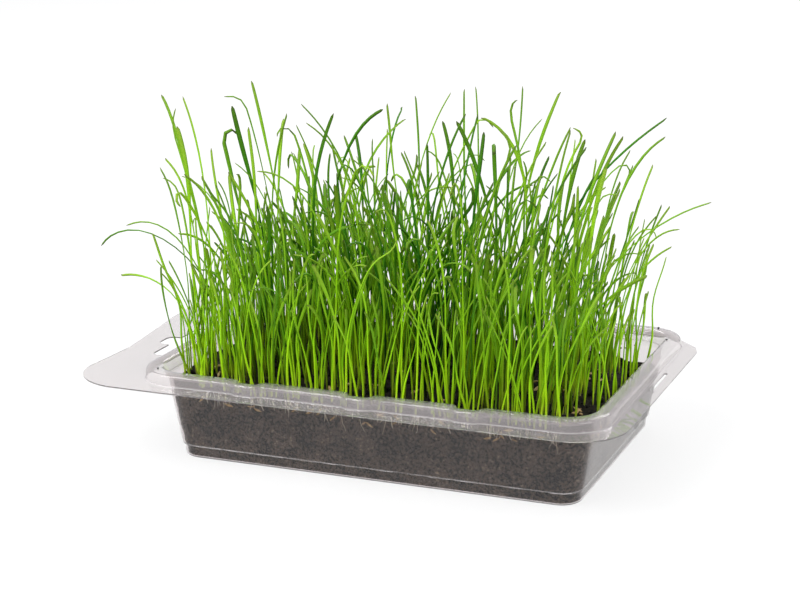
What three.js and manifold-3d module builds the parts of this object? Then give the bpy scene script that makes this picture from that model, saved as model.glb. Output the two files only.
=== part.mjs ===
// A shallow clear tray filled with growing soil, with young cereal grass standing in close rows.
// X runs along the tray's long side, Y towards its back and Z up. The origin is the middle of
// the tray's underside. Millimetres throughout.
import * as THREE from 'three';
import Module from 'manifold-3d';
import { mergeVertices } from 'three/addons/utils/BufferGeometryUtils.js';

const wasm = await Module();
wasm.setup();

// Driving dimensions of the tray
const sheet = 0.8;                 // thickness of the formed plastic
const rimLength = 190;             // outer foot of the raised rim, along X
const rimWidth = 130;              // outer foot of the raised rim, along Y
const rimRadius = 16;
const cornerTighten = 0.6;         // how much a corner's radius drops for each millimetre inwards
const rimTop = 37.6;
const rimFlat = 6.4;               // from the rim's outer foot to the inner edge of its flat top
const flangeTop = 33;
const flangeReach = 6.5;           // how far the flange stands out at the front and the back
const tabReach = 6.7;              // and at the right end
const flapReach = 32;              // and at the left end, where it is a wide lifting flap
const bodyInset = 9.1;             // the wall under the flange, inside the rim's foot
const stepInset = 12.1;
const baseInset = 13.1;
const baseSpread = 0.4;            // the end walls stand this much further out than the long ones
const bodySpread = 1.6;            // and this much in their upper part
const stepHeight = 5.2;            // height of the small ledge near the bottom
const bendHeight = 25.5;           // where the wall turns a little more upright
const bendInset = 0.7;             // how far inside bodyInset the wall still is there
const mouthInset = 0.4;            // how far the flange plate runs in under the rim

// The short dents along both long sides of the rim
const dentCentres = [-45, 1, 44];
const dentHalf = 3.6;
const dentSlope = 2.8;
const dentDepth = 4.4;
const dentSwell = 1.4;

// The flap's hanging slot and the narrow slot in the right-hand flange
const slotOuter = 106.5;
const slotInner = 97.2;
const slotMiddle = -8;
const slotHalf = 20;
const slotBump = 5.5;
const tabSlot = { x: 96.6, width: 1.3, low: -6, high: 17 };

// Soil
const gap = 0.35;                  // clearance kept between neighbouring pieces
const soilLevel = 31;
const soilHalfX = 85;
const soilHalfY = 55;
const cornerDrop = 6;              // how far the soil has sunk in the back right corner
const cornerStart = 0.75;          // the sinking starts and ends at these sums of x and y, each as a
const cornerEnd = 1.9;             // share of the soil's half size
const cornerThin = 1.45;           // from this sum on the grass stands thin

// Grass
const rowCount = 18;
const rowSpacing = 5.9;
const rowReach = 80;               // the strands run from -rowReach to +rowReach
const outerRowReach = 76;          // the first and last rows end short of the rounded corners
const strandWidth = 2.4;
const strandHeight = 1.7;
const strandCover = 0.15;          // how far a strand's top lies under the soil's surface
const bladesInRow = 19;
const shortest = 50;               // blade lengths
const longest = 112;
const shortBias = 1.6;             // above 1, more blades are short than long
const overhang = { front: -78, back: 75, left: -94, right: 97 };  // as far as ordinary blades lean out
const bladeThickness = 0.7;
const stemThickness = 0.85;
const baseWidth = 1.25;
const tipWidth = 0.75;
const bladeGap = 0.15;             // least room between two blades
const rootShare = 0.55;            // blades start this deep in their strand's height
const placeJitter = 2.6;           // how far a blade may stand from its even place in the row
const triesPerBlade = 120;
const endMargin = 2.5;             // the outermost even place in a row, from the row's end
const thinnedShare = 0.7;          // share of places left empty where the grass stands thin

// How blades vary: the least and the most of each, angles in radians
const leanRange = [0, 0.2];
const turnRange = [-1.7, 1.7];
const bendRange = [0.02, 0.5];
const slightCurl = [0, 0.3];
const strongCurl = [0.6, 1.7];
const strongCurlShare = 0.35;
const widestRange = [1.55, 2.05];
const twistRange = [-0.7, 0.7];
const bendPower = 1.6;             // a bend grows with this power of the way along the blade
const curlPower = 5;
const swirl = 0.35;                // how far a blade's heading wanders on its way up
const calming = { length: 0.15, turn: 0.5, bend: 0.6 };  // shares taken off by a place's last try

const cornerSteps = 5;
const plainSteps = 3;

const clearPlastic = { color: '#e9e7e6', roughness: 0.08, metalness: 0, transparent: true, opacity: 0.4 };
const darkSoil = { color: '#2a2522', roughness: 1, metalness: 0 };
const grassGreen = { color: '#5f9e26', roughness: 0.5, metalness: 0 };

// Seeded random draws, so that every build gives the same grass
function seededRandom(seed) {
  let state = seed >>> 0;
  return () => {
    state = (state + 0x6d2b79f5) >>> 0;
    let mixed = Math.imul(state ^ (state >>> 15), state | 1);
    mixed ^= mixed + Math.imul(mixed ^ (mixed >>> 7), mixed | 61);
    return ((mixed ^ (mixed >>> 14)) >>> 0) / 4294967296;
  };
}
const random = seededRandom(20417);
const between = ([low, high]) => low + (high - low) * random();

// Closed geometry from points and triangle indices
function closedGeometry(points, triangles) {
  const geometry = new THREE.BufferGeometry();
  geometry.setAttribute('position', new THREE.Float32BufferAttribute(points.flat(), 3));
  geometry.setIndex(triangles);
  return geometry;
}

function toSolid(geometry) {
  const bare = geometry.clone();
  bare.deleteAttribute('normal');
  bare.deleteAttribute('uv');
  const merged = mergeVertices(bare, 1e-4);
  return new wasm.Manifold(new wasm.Mesh({
    numProp: 3,
    vertProperties: new Float32Array(merged.attributes.position.array),
    triVerts: new Uint32Array(merged.index.array),
  }));
}

function fromSolid(solid) {
  const mesh = solid.getMesh();
  const geometry = new THREE.BufferGeometry();
  geometry.setAttribute('position', new THREE.BufferAttribute(Float32Array.from(mesh.vertProperties), 3));
  geometry.setIndex(Array.from(mesh.triVerts));
  geometry.computeVertexNormals();
  return geometry;
}

// One turn round the tray, anticlockwise from the front left. swell moves the dents outwards,
// spread moves both ends outwards, and a plain ring has no dents.
function ring({ inset, z, swell = 0, spread = 0, plain = false }) {
  const radius = rimRadius - cornerTighten * inset;
  const steps = plain ? plainSteps : cornerSteps;
  const halfX = rimLength / 2 - inset + spread;
  const halfY = rimWidth / 2 - inset;
  const points = [];
  const corner = (signX, signY, start) => {
    for (let i = 0; i <= steps; i++) {
      const angle = start + (Math.PI / 2) * (i / steps);
      points.push([
        signX * (halfX - radius) + radius * Math.cos(angle),
        signY * (halfY - radius) + radius * Math.sin(angle),
        z,
      ]);
    }
  };
  const side = (sign) => {
    if (plain) return;
    const marks = dentCentres.flatMap((c) => [
      [c - dentHalf - dentSlope, 0],
      [c - dentHalf, swell],
      [c + dentHalf, swell],
      [c + dentHalf + dentSlope, 0],
    ]);
    const ordered = sign < 0 ? marks : marks.reverse();
    ordered.forEach(([x, out]) => points.push([x, sign * (halfY + out), z]));
  };
  side(-1);
  corner(1, -1, -Math.PI / 2);
  corner(1, 1, 0);
  side(1);
  corner(-1, 1, Math.PI / 2);
  corner(-1, -1, Math.PI);
  return points;
}

// Skins a stack of rings and closes it with a flat fan at each end
function skinRings(rings) {
  const count = rings[0].length;
  const points = rings.flat();
  const triangles = [];
  for (let r = 0; r + 1 < rings.length; r++) {
    for (let i = 0; i < count; i++) {
      const a = r * count + i;
      const b = r * count + ((i + 1) % count);
      triangles.push(a, b, b + count, a, b + count, a + count);
    }
  }
  const close = (offset, z, flip) => {
    const centre = points.length;
    points.push([0, 0, z]);
    for (let i = 0; i < count; i++) {
      const a = offset + i;
      const b = offset + ((i + 1) % count);
      triangles.push(...(flip ? [centre, b, a] : [centre, a, b]));
    }
  };
  const last = rings.length - 1;
  close(0, rings[0][0][2], true);
  close(last * count, rings[last][0][2], false);
  return closedGeometry(points, triangles);
}

// The flange is one flat plate: front and back strips, the right tab and the left flap
function flangePlate() {
  const front = -(rimWidth / 2 + flangeReach);
  const right = rimLength / 2 + tabReach;
  const left = -(rimLength / 2 + flapReach);
  const rightRound = 20;
  const chamfer = 18.5;
  const flapRoundX = 29;
  const flapRoundY = 21.5;
  const flapLean = 5;              // the flap is this much narrower at its front end
  const flapWaist = [[1.5, 24], [4.5, 0], [6.8, -22], [6, -38], [flapLean, -50]];
  const outline = new THREE.Shape();
  outline.moveTo(left + flapRoundX, front);
  outline.lineTo(right - rightRound, front);
  outline.absarc(right - rightRound, front + rightRound, rightRound, -Math.PI / 2, 0, false);
  outline.lineTo(right, -front - chamfer);
  outline.lineTo(right - chamfer, -front);
  outline.lineTo(left + flapRoundX, -front);
  outline.absellipse(left + flapRoundX, -front - flapRoundY, flapRoundX, flapRoundY, Math.PI / 2, Math.PI, false, 0);
  outline.splineThru(flapWaist.map(([x, y]) => new THREE.Vector2(left + x, y)));
  outline.absellipse(
    left + flapRoundX, front + flapRoundY, flapRoundX - flapLean, flapRoundY, Math.PI, Math.PI * 1.5, false, 0,
  );

  const mouth = new THREE.Path();
  ring({ inset: mouthInset, z: 0, swell: dentSwell }).forEach(([x, y], i) => {
    if (i === 0) mouth.moveTo(x, y);
    else mouth.lineTo(x, y);
  });
  mouth.closePath();

  const hanging = new THREE.Path();
  hanging.moveTo(-slotInner, slotMiddle - slotHalf);
  hanging.lineTo(-slotInner, slotMiddle + slotHalf);
  hanging.lineTo(-slotOuter, slotMiddle + slotHalf);
  hanging.lineTo(-slotOuter, slotMiddle + slotBump);
  hanging.absarc(-slotOuter, slotMiddle, slotBump, Math.PI / 2, Math.PI * 1.5, false);
  hanging.lineTo(-slotOuter, slotMiddle - slotHalf);
  hanging.closePath();

  const narrow = new THREE.Path();
  narrow.moveTo(tabSlot.x, tabSlot.low);
  narrow.lineTo(tabSlot.x + tabSlot.width, tabSlot.low);
  narrow.lineTo(tabSlot.x + tabSlot.width, tabSlot.high);
  narrow.lineTo(tabSlot.x, tabSlot.high);
  narrow.closePath();

  outline.holes.push(mouth, hanging, narrow);
  const plate = new THREE.ExtrudeGeometry(outline, { depth: sheet, bevelEnabled: false, curveSegments: 8 });
  plate.translate(0, 0, flangeTop - sheet);
  return toSolid(plate);
}

// The formed sheet: its underside from the middle outwards, then its upper side back to the middle
function traySolid() {
  const under = [
    { inset: baseInset + 1.5, z: 0, spread: baseSpread },
    { inset: baseInset, z: 1.4, spread: baseSpread },
    { inset: baseInset - 0.2, z: stepHeight - 0.3, spread: baseSpread },
    { inset: stepInset, z: stepHeight, spread: baseSpread },
    { inset: bodyInset + bendInset, z: bendHeight, spread: bodySpread },
    { inset: bodyInset, z: flangeTop - sheet, swell: dentDepth * 0.6, spread: bodySpread },
    { inset: rimFlat - 0.9, z: rimTop - sheet, swell: dentDepth * 0.8 },
    { inset: sheet + 0.9, z: rimTop - sheet, swell: dentSwell },
    { inset: sheet, z: flangeTop - sheet, swell: dentSwell },
    { inset: 0, z: flangeTop - sheet, swell: dentSwell },
  ];
  const upper = [
    { inset: 0, z: flangeTop, swell: dentSwell },
    { inset: 0.5, z: rimTop - 0.6, swell: dentSwell },
    { inset: 1.1, z: rimTop, swell: dentSwell },
    { inset: rimFlat - 0.5, z: rimTop, swell: dentDepth * 0.8 },
    { inset: rimFlat + 0.2, z: rimTop - 0.7, swell: dentDepth * 0.8 },
    { inset: bodyInset + sheet, z: flangeTop - sheet, swell: dentDepth * 0.6, spread: bodySpread },
    { inset: bodyInset + bendInset + sheet, z: bendHeight, spread: bodySpread },
    { inset: stepInset + sheet, z: stepHeight + sheet * 0.6, spread: baseSpread },
    { inset: baseInset - 0.2 + sheet, z: stepHeight - 0.3 + sheet * 0.6, spread: baseSpread },
    { inset: baseInset + sheet, z: 1.9, spread: baseSpread },
    { inset: baseInset + 1.9, z: sheet, spread: baseSpread },
  ];
  const body = toSolid(skinRings([...under, ...upper].map(ring)));
  return body.add(flangePlate());
}

// How far a place lies towards the back right corner
const cornerward = (x, y) => x / soilHalfX + y / soilHalfY;

// Height of the soil's surface: gently uneven, sunk in the back right corner
function soilHeight(x, y) {
  const toCorner = THREE.MathUtils.smoothstep(cornerward(x, y), cornerStart, cornerEnd);
  const uneven = 0.35 * Math.sin(x * 0.11 + y * 0.05) + 0.3 * Math.sin(y * 0.17 - x * 0.04 + 1.2);
  return soilLevel - cornerDrop * toCorner + uneven;
}

const stations = 5;                // bends along a row

const reachOf = (row) => (row === 0 || row === rowCount - 1 ? outerRowReach : rowReach);
const rowY = (row, x) => (row - (rowCount - 1) / 2) * rowSpacing + 0.7 * Math.sin(x * 0.05 + 0.6);

const stationX = (row, i) => reachOf(row) * ((2 * i) / (stations - 1) - 1);

// Where a row runs at x: on the straight stretches between its stations, at the soil's surface
function rowPoint(row, x) {
  const at = ((x / reachOf(row) + 1) * (stations - 1)) / 2;
  const from = THREE.MathUtils.clamp(Math.floor(at), 0, stations - 2);
  const ends = [from, from + 1].map((i) => {
    const stop = stationX(row, i);
    return new THREE.Vector3(stop, rowY(row, stop), soilHeight(stop, rowY(row, stop)));
  });
  return ends[0].lerp(ends[1], at - from);
}

// A bar that follows one row through the soil, longer at each end by extra
function rowBar(row, width, low, high, extra) {
  const rings = [];
  for (let i = 0; i < stations; i++) {
    const { y, z } = rowPoint(row, stationX(row, i));
    const x = stationX(row, i) * (1 + extra / reachOf(row));
    rings.push([
      [x, y + width / 2, z + low],
      [x, y + width / 2, z + high],
      [x, y - width / 2, z + high],
      [x, y - width / 2, z + low],
    ]);
  }
  const points = rings.flat();
  const triangles = [];
  for (let r = 0; r + 1 < stations; r++) {
    for (let i = 0; i < 4; i++) {
      const a = r * 4 + i;
      const b = r * 4 + ((i + 1) % 4);
      triangles.push(a, b, a + 4, b, b + 4, a + 4);
    }
  }
  const end = (stations - 1) * 4;
  triangles.push(0, 2, 1, 0, 3, 2, end, end + 1, end + 2, end, end + 2, end + 3);
  return toSolid(closedGeometry(points, triangles));
}

// Soil: the tray's inside less a small gap, with an uneven top and a furrow for every row
function soilSolid() {
  const sides = [
    { inset: baseInset + 2.4, z: sheet + gap, spread: baseSpread },
    { inset: baseInset + sheet + gap, z: 2.3, spread: baseSpread },
    { inset: baseInset - 0.2 + sheet + gap, z: stepHeight + 0.1, spread: baseSpread },
    { inset: stepInset + sheet + gap, z: stepHeight + 0.9, spread: baseSpread },
    { inset: bodyInset + bendInset + 0.1 + sheet + gap, z: bendHeight - 1.5, spread: bodySpread },
  ].map((level) => ring({ ...level, plain: true }));
  const topEdge = { inset: bodyInset + bendInset + 0.05 + sheet + gap, z: 0, spread: bodySpread, plain: true };
  [1, 0.6].forEach((scale) => {
    sides.push(ring(topEdge).map(([x, y]) => [x * scale, y * scale, soilHeight(x * scale, y * scale)]));
  });
  let soil = toSolid(skinRings(sides));
  for (let row = 0; row < rowCount; row++) {
    const furrow = rowBar(row, strandWidth + 2 * gap, -strandHeight - strandCover - gap, 4, gap);
    soil = soil.subtract(furrow);
  }
  return soil;
}

// One blade's middle line: it starts straight and bends over more towards its tip
function bladeLine({ row, x, length, lean, heading, bend, curl, steps }) {
  const at = rowPoint(row, x);
  at.z -= strandCover + strandHeight * rootShare;
  const line = [at.clone()];
  for (let i = 1; i <= steps; i++) {
    const along = (i - 0.5) / steps;
    const tilt = lean + bend * along ** bendPower + curl * along ** curlPower;
    const turn = heading + swirl * Math.sin(along * 3 + x);
    at.x += (length / steps) * Math.sin(tilt) * Math.cos(turn);
    at.y += (length / steps) * Math.sin(tilt) * Math.sin(turn);
    at.z += (length / steps) * Math.cos(tilt);
    line.push(at.clone());
  }
  return line;
}

// Width of a blade at a share of its length: narrow stem, widest past the middle, fine tip
function widthAt(along, widest) {
  const { lerp, smoothstep } = THREE.MathUtils;
  const widestAt = 0.55;
  if (along < widestAt) return lerp(baseWidth, widest, smoothstep(along, 0.1, widestAt));
  return lerp(widest, tipWidth, ((along - widestAt) / (1 - widestAt)) ** 2.4);
}

// A blade's solid: a keeled three-sided section carried along its middle line
function bladeSolid(blade) {
  const { line, widest, facing } = blade;
  const last = line.length - 1;
  const across = new THREE.Vector3(Math.cos(facing), Math.sin(facing), 0);
  const points = [];
  for (let i = 0; i <= last; i++) {
    const ahead = line[Math.min(i + 1, last)].clone().sub(line[Math.max(i - 1, 0)]).normalize();
    const side = across.clone().addScaledVector(ahead, -across.dot(ahead)).normalize();
    const keel = new THREE.Vector3().crossVectors(ahead, side);
    const width = widthAt(i / last, widest);
    const thick = THREE.MathUtils.lerp(stemThickness, bladeThickness, i / last);
    const centre = line[i];
    const edge = (sideways, down) => centre.clone().addScaledVector(side, sideways).addScaledVector(keel, down);
    points.push(edge(-width / 2, thick * 0.4).toArray());
    points.push(edge(width / 2, thick * 0.4).toArray());
    points.push(edge(0, -thick * 0.6).toArray());
  }
  const triangles = [];
  for (let i = 0; i < last; i++) {
    for (let k = 0; k < 3; k++) {
      const a = i * 3 + k;
      const b = i * 3 + ((k + 1) % 3);
      triangles.push(a, a + 3, b, b, a + 3, b + 3);
    }
  }
  const end = last * 3;
  triangles.push(0, 1, 2, end, end + 2, end + 1);
  return toSolid(closedGeometry(points, triangles));
}

// Nearest distance between two straight stretches
function stretchGap(p1, q1, p2, q2) {
  const d1 = q1.clone().sub(p1);
  const d2 = q2.clone().sub(p2);
  const r = p1.clone().sub(p2);
  const a = d1.dot(d1);
  const e = d2.dot(d2);
  const b = d1.dot(d2);
  const c = d1.dot(r);
  const f = d2.dot(r);
  const clamp = THREE.MathUtils.clamp;
  const denominator = a * e - b * b;
  let s = denominator > 1e-9 ? clamp((b * f - c * e) / denominator, 0, 1) : 0;
  const t = clamp((b * s + f) / e, 0, 1);
  s = clamp((b * t - c) / a, 0, 1);
  return d1.multiplyScalar(s).add(p1).distanceTo(d2.multiplyScalar(t).add(p2));
}

function clearOf(blade, others) {
  const steps = blade.line.length - 1;
  for (const other of others) {
    if (!blade.box.intersectsBox(other.box)) continue;
    const otherSteps = other.line.length - 1;
    for (let i = 0; i < steps; i++) {
      const width = widthAt((i + 0.5) / steps, blade.widest);
      for (let k = 0; k < otherSteps; k++) {
        const otherWidth = widthAt((k + 0.5) / otherSteps, other.widest);
        const distance = stretchGap(blade.line[i], blade.line[i + 1], other.line[k], other.line[k + 1]);
        if (distance < (width + otherWidth) / 2 + bladeGap) return false;
      }
    }
  }
  return true;
}

const withinOverhang = (line) => line.every((p) => (
  p.x > overhang.left && p.x < overhang.right && p.y > overhang.front && p.y < overhang.back
));

// Blades rise inside the rim, and lean out over it only from a little above it
function clearOfTray(line) {
  const clearance = 2;
  const insideX = rimLength / 2 - rimFlat - clearance;
  const insideY = rimWidth / 2 - rimFlat - clearance;
  const overRim = rimTop + clearance;
  return line.slice(1).every((end, i) => [0.25, 0.5, 0.75, 1].every((share) => {
    const at = line[i].clone().lerp(end, share);
    return at.z > overRim || (Math.abs(at.x) < insideX && Math.abs(at.y) < insideY);
  }));
}

// Blades that stand out of the crowd: those that arch away at the two ends, and the tallest.
// A twist turns a blade's flat side away from the way that it bends.
const archingBlades = [
  { row: 6, x: -76, length: 87, lean: 0.22, heading: 3.2, bend: 1.25, curl: 1.1, twist: 0.5 },
  { row: 2, x: -78, length: 59, lean: 0.12, heading: 3.3, bend: 1.6, curl: 0.15, twist: 0.5 },
  { row: 2, x: -74, length: 116, lean: 0.0, heading: 3.02, bend: 0.17, curl: 0.8, twist: 1.2 },
  { row: 3, x: -74, length: 112, lean: 0.01, heading: 3.0, bend: 0.06, curl: 0.5, twist: 1.2 },
  { row: 1, x: -75, length: 101, lean: 0.0, heading: 2.9, bend: 0.1, curl: 0.2, twist: 1.0 },
  { row: 1, x: -79, length: 86, lean: 0.0, heading: 3.1, bend: 0.1, curl: 0.7, twist: 1.1 },
  { row: 3, x: -79, length: 89, lean: 0.02, heading: 3.1, bend: 0.1, curl: 0.9, twist: 0.9 },
  { row: 0, x: -75, length: 49, lean: 0.38, heading: 3.2, bend: -0.42, curl: 0.0, twist: 0.8 },
  { row: 5, x: -51, length: 108, lean: 0.1, heading: 3.2, bend: 0.12, curl: 0.0, twist: 1.2 },
  { row: 9, x: -66, length: 101, lean: 0.0, heading: 0.2, bend: 0.15, curl: 0.2, twist: 1.1 },
  { row: 8, x: -42, length: 114, lean: 0.06, heading: 0.1, bend: 0.33, curl: 0.7, twist: 1.0 },
  { row: 9, x: -34, length: 107, lean: 0.08, heading: 0.1, bend: 0.3, curl: 0.55, twist: -1.0 },
  { row: 7, x: -13, length: 114, lean: 0.04, heading: 3.1, bend: 0.42, curl: 0.4, twist: 1.2 },
  { row: 12, x: 10, length: 97, lean: 0.03, heading: 3.1, bend: 0.1, curl: 0.1, twist: -1.1 },
  { row: 11, x: 36, length: 102, lean: 0.12, heading: 3.1, bend: 0.32, curl: 0.1, twist: 1.1 },
  { row: 8, x: 43, length: 111, lean: 0.03, heading: 0.2, bend: 0.12, curl: -1.3, twist: 0.9 },
  { row: 10, x: 42, length: 122, lean: 0.14, heading: 0.1, bend: 0.95, curl: -0.1, twist: 0.8 },
  { row: 11, x: 57, length: 100, lean: 0.05, heading: 0.0, bend: 0.3, curl: 0.3, twist: -1.1 },
  { row: 6, x: 72, length: 90, lean: 0.03, heading: 0.2, bend: 0.2, curl: 0.0, twist: 1.2 },
  { row: 7, x: 56, length: 101, lean: 0.32, heading: 0.1, bend: 1.0, curl: 0.0, twist: 0.6 },
  { row: 11, x: 77, length: 76, lean: 0.03, heading: 0.0, bend: 0.6, curl: 0.9, twist: 0.5 },
  { row: 12, x: 74, length: 62, lean: 0.1, heading: 0.0, bend: 0.6, curl: 0.4, twist: 0.5 },
  { row: 4, x: 64, length: 66, lean: 0.3, heading: 0.1, bend: 0.75, curl: 0.1, twist: 0.6 },
];
const archingWidest = 2.1;

function draftBlade(shape) {
  const line = bladeLine(shape);
  return {
    row: shape.row,
    line,
    widest: shape.widest,
    facing: shape.heading + Math.PI / 2 + shape.twist,
    box: new THREE.Box3().setFromPoints(line).expandByScalar(1.5),
  };
}

// The lean that neighbours share, so that they stand beside each other like real grass
function sharedHeading(x, y) {
  return Math.atan2(y * 0.8 + 6 * Math.sin(x * 0.06), x + 14 * Math.sin(y * 0.13));
}

// One random blade for a place in a row. Each failed try makes the next blade shorter and straighter.
function randomBlade(row, place, strict) {
  const x = THREE.MathUtils.clamp(place + between([-placeJitter, placeJitter]), 1 - reachOf(row), reachOf(row) - 1);
  const tall = random();
  const shape = {
    row,
    x,
    length: THREE.MathUtils.lerp(shortest, longest, tall ** shortBias) * (1 - calming.length * strict),
    lean: between(leanRange),
    heading: sharedHeading(x, rowY(row, x)) + between(turnRange) * (1 - calming.turn * strict),
    bend: between(bendRange) * (1 - calming.bend * strict),
    curl: random() < strongCurlShare ? between(strongCurl) : between(slightCurl),
    widest: between(widestRange),
    twist: between(twistRange),
  };
  shape.steps = shape.curl > 0.5 || shape.bend > 0.3 ? 4 : 3;
  return draftBlade(shape);
}

function growGrass() {
  const blades = archingBlades.map((given) => draftBlade({ ...given, widest: archingWidest, steps: 6 }));
  for (let row = 0; row < rowCount; row++) {
    for (let i = 0; i < bladesInRow; i++) {
      const place = (reachOf(row) - endMargin) * ((2 * i + 1) / bladesInRow - 1);
      const thinHere = cornerward(place, rowY(row, place)) > cornerThin;
      if (thinHere && random() < thinnedShare) continue;
      for (let attempt = 0; attempt < triesPerBlade; attempt++) {
        const blade = randomBlade(row, place, attempt / triesPerBlade);
        if (withinOverhang(blade.line) && clearOfTray(blade.line) && clearOf(blade, blades)) {
          blades.push(blade);
          break;
        }
      }
    }
  }
  return blades;
}

function namedMesh(name, geometry, finish) {
  const mesh = new THREE.Mesh(geometry, new THREE.MeshStandardMaterial(finish));
  mesh.name = name;
  return mesh;
}

const wheatgrassTray = new THREE.Group();
wheatgrassTray.add(namedMesh('tray', fromSolid(traySolid()), clearPlastic));
wheatgrassTray.add(namedMesh('soil', fromSolid(soilSolid()), darkSoil));

const blades = growGrass();
for (let row = 0; row < rowCount; row++) {
  const strand = rowBar(row, strandWidth, -strandHeight - strandCover, -strandCover, 0);
  const inRow = blades.filter((blade) => blade.row === row).map(bladeSolid);
  const grass = wasm.Manifold.union([strand, ...inRow]);
  const name = `grass_row_${String(row + 1).padStart(2, '0')}`;
  wheatgrassTray.add(namedMesh(name, fromSolid(grass), grassGreen));
}

export default wheatgrassTray;
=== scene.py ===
import math

import bmesh
import bpy
import numpy as np
from mathutils import Matrix, Vector, noise


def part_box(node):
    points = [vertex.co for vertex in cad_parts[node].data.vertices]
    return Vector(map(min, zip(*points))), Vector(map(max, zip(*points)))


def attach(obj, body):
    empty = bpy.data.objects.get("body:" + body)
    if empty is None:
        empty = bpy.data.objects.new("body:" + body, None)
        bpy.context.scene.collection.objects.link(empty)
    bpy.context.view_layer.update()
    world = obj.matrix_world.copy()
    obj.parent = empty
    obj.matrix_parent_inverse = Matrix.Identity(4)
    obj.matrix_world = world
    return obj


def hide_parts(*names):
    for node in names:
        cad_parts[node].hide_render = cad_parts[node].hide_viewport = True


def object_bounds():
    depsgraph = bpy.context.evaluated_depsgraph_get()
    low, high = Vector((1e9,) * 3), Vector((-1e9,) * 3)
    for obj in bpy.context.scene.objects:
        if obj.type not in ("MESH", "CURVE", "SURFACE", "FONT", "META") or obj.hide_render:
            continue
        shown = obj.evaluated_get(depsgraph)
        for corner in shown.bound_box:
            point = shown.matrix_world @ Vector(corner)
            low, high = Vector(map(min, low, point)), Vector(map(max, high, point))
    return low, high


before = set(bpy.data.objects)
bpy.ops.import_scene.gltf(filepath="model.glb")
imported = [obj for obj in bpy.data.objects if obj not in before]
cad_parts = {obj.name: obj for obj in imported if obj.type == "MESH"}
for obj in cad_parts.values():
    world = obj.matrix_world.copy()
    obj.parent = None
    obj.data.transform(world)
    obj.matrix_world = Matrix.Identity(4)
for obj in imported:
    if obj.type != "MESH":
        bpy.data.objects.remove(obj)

cad_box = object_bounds()
MM = 0.001
box_low, box_high = (np.array(corner) / MM for corner in cad_box)

# Sizes of the tray, taken from the nodes where they can be
tray_low, tray_high = (Vector(corner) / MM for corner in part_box("tray"))
RIM_LENGTH = 190.0
RIM_WIDTH = 130.0
RIM_RADIUS = 16.0
RADIUS_LOSS = 0.6
RIM_TOP = tray_high.z
RIM_FLAT = 6.4
FLANGE_TOP = 33.0
FLANGE_MIDDLE = FLANGE_TOP - 0.4
BODY_INSET = 9.1
STEP_INSET = 12.1
BASE_INSET = 13.1
BASE_SPREAD = 0.4
BODY_SPREAD = 1.6
STEP_HEIGHT = 5.2
BEND_HEIGHT = 25.5
SHEET = 0.5
DENT_CENTRES = (-45.0, 1.0, 44.0)
DENT_HALF = 3.6
DENT_SLOPE = 2.8
DENT_DEPTH = 4.4
DENT_SWELL = 1.4
# Low and high corner of each cut through the flange: the hanging slot and its notch, and the tab's slit
SLOTS = (((-106.5, -28.0), (-97.2, 12.0)), ((-112.0, -13.5), (-100.0, -2.5)), ((96.6, -6.0), (97.9, 17.0)))

# Sizes of the soil and of the grass rows, as the CAD source has them
SOIL_LEVEL = 31.0
SOIL_HALF_X = 85.0
SOIL_HALF_Y = 55.0
CORNER_DROP = 6.0
CORNER_START = 0.75
CORNER_END = 1.9
CORNER_THIN = 1.45
ROW_COUNT = 18
ROW_SPACING = 5.9
ROW_REACH = 80.0
OUTER_ROW_REACH = 76.0
ROW_STATIONS = 5
# Blades start 0.55 of the way down a root strand 1.7 mm high, whose top lies 0.15 mm under the surface
ROOT_DEPTH = 0.15 + 1.7 * 0.55
BLADES_IN_ROW = 19
SHORTEST = 50.0
LONGEST = 112.0
SHORT_BIAS = 1.6
OVERHANG = {"front": -78.0, "back": 75.0, "left": -94.0, "right": 97.0}
STEM_WIDTH = 1.25
TIP_WIDTH = 0.75
BLADE_GAP = 0.15
PLACE_JITTER = 2.6
TRIES_PER_BLADE = 120
END_MARGIN = 2.5
THINNED_SHARE = 0.7

# How blades vary: the least and the most of each, angles in radians
LEAN_RANGE = (0, 0.2)
TURN_RANGE = (-1.7, 1.7)
BEND_RANGE = (0.02, 0.5)
SLIGHT_CURL = (0, 0.3)
STRONG_CURL = (0.6, 1.7)
STRONG_CURL_SHARE = 0.35
WIDEST_RANGE = (1.55, 2.05)
TWIST_RANGE = (-0.7, 0.7)
BEND_POWER = 1.6
CURL_POWER = 5
SWIRL = 0.35
CALMING = {"length": 0.15, "turn": 0.5, "bend": 0.6}

# The camera stands where the photograph was taken from: metres and radians
CAMERA_PLACE = Vector((0.2697, -0.6656, 0.2550))
CAMERA_YAW = 0.3948
CAMERA_PITCH = 0.2674
CAMERA_ROLL = -0.0154
CAMERA_LENS = 84.29


def add_camera():
    yaw, pitch = CAMERA_YAW, CAMERA_PITCH
    forward = Vector((-math.sin(yaw) * math.cos(pitch), math.cos(yaw) * math.cos(pitch), -math.sin(pitch)))
    level = Vector((math.cos(yaw), math.sin(yaw), 0.0))
    upright = level.cross(forward)
    right = level * math.cos(CAMERA_ROLL) + upright * math.sin(CAMERA_ROLL)
    up = upright * math.cos(CAMERA_ROLL) - level * math.sin(CAMERA_ROLL)
    camera = bpy.data.objects.new("camera", bpy.data.cameras.new("camera"))
    bpy.context.scene.collection.objects.link(camera)
    turn = Matrix((right, up, -forward)).transposed()
    camera.matrix_world = Matrix.Translation(CAMERA_PLACE) @ turn.to_4x4()
    camera.data.lens = CAMERA_LENS
    camera.data.sensor_width = 36.0
    camera.data.clip_end = 20.0
    bpy.context.scene.camera = camera


add_camera()


# Small helpers

def linear(hex_colour):
    """A colour written as #rrggbb in sRGB, as linear values and a full alpha."""
    parts = [int(hex_colour[i:i + 2], 16) / 255 for i in (1, 3, 5)]
    return (*(c / 12.92 if c <= 0.04045 else ((c + 0.055) / 1.055) ** 2.4 for c in parts), 1.0)


def set_inputs(shader, values):
    for name, value in values.items():
        shader.inputs[name].default_value = value


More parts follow.
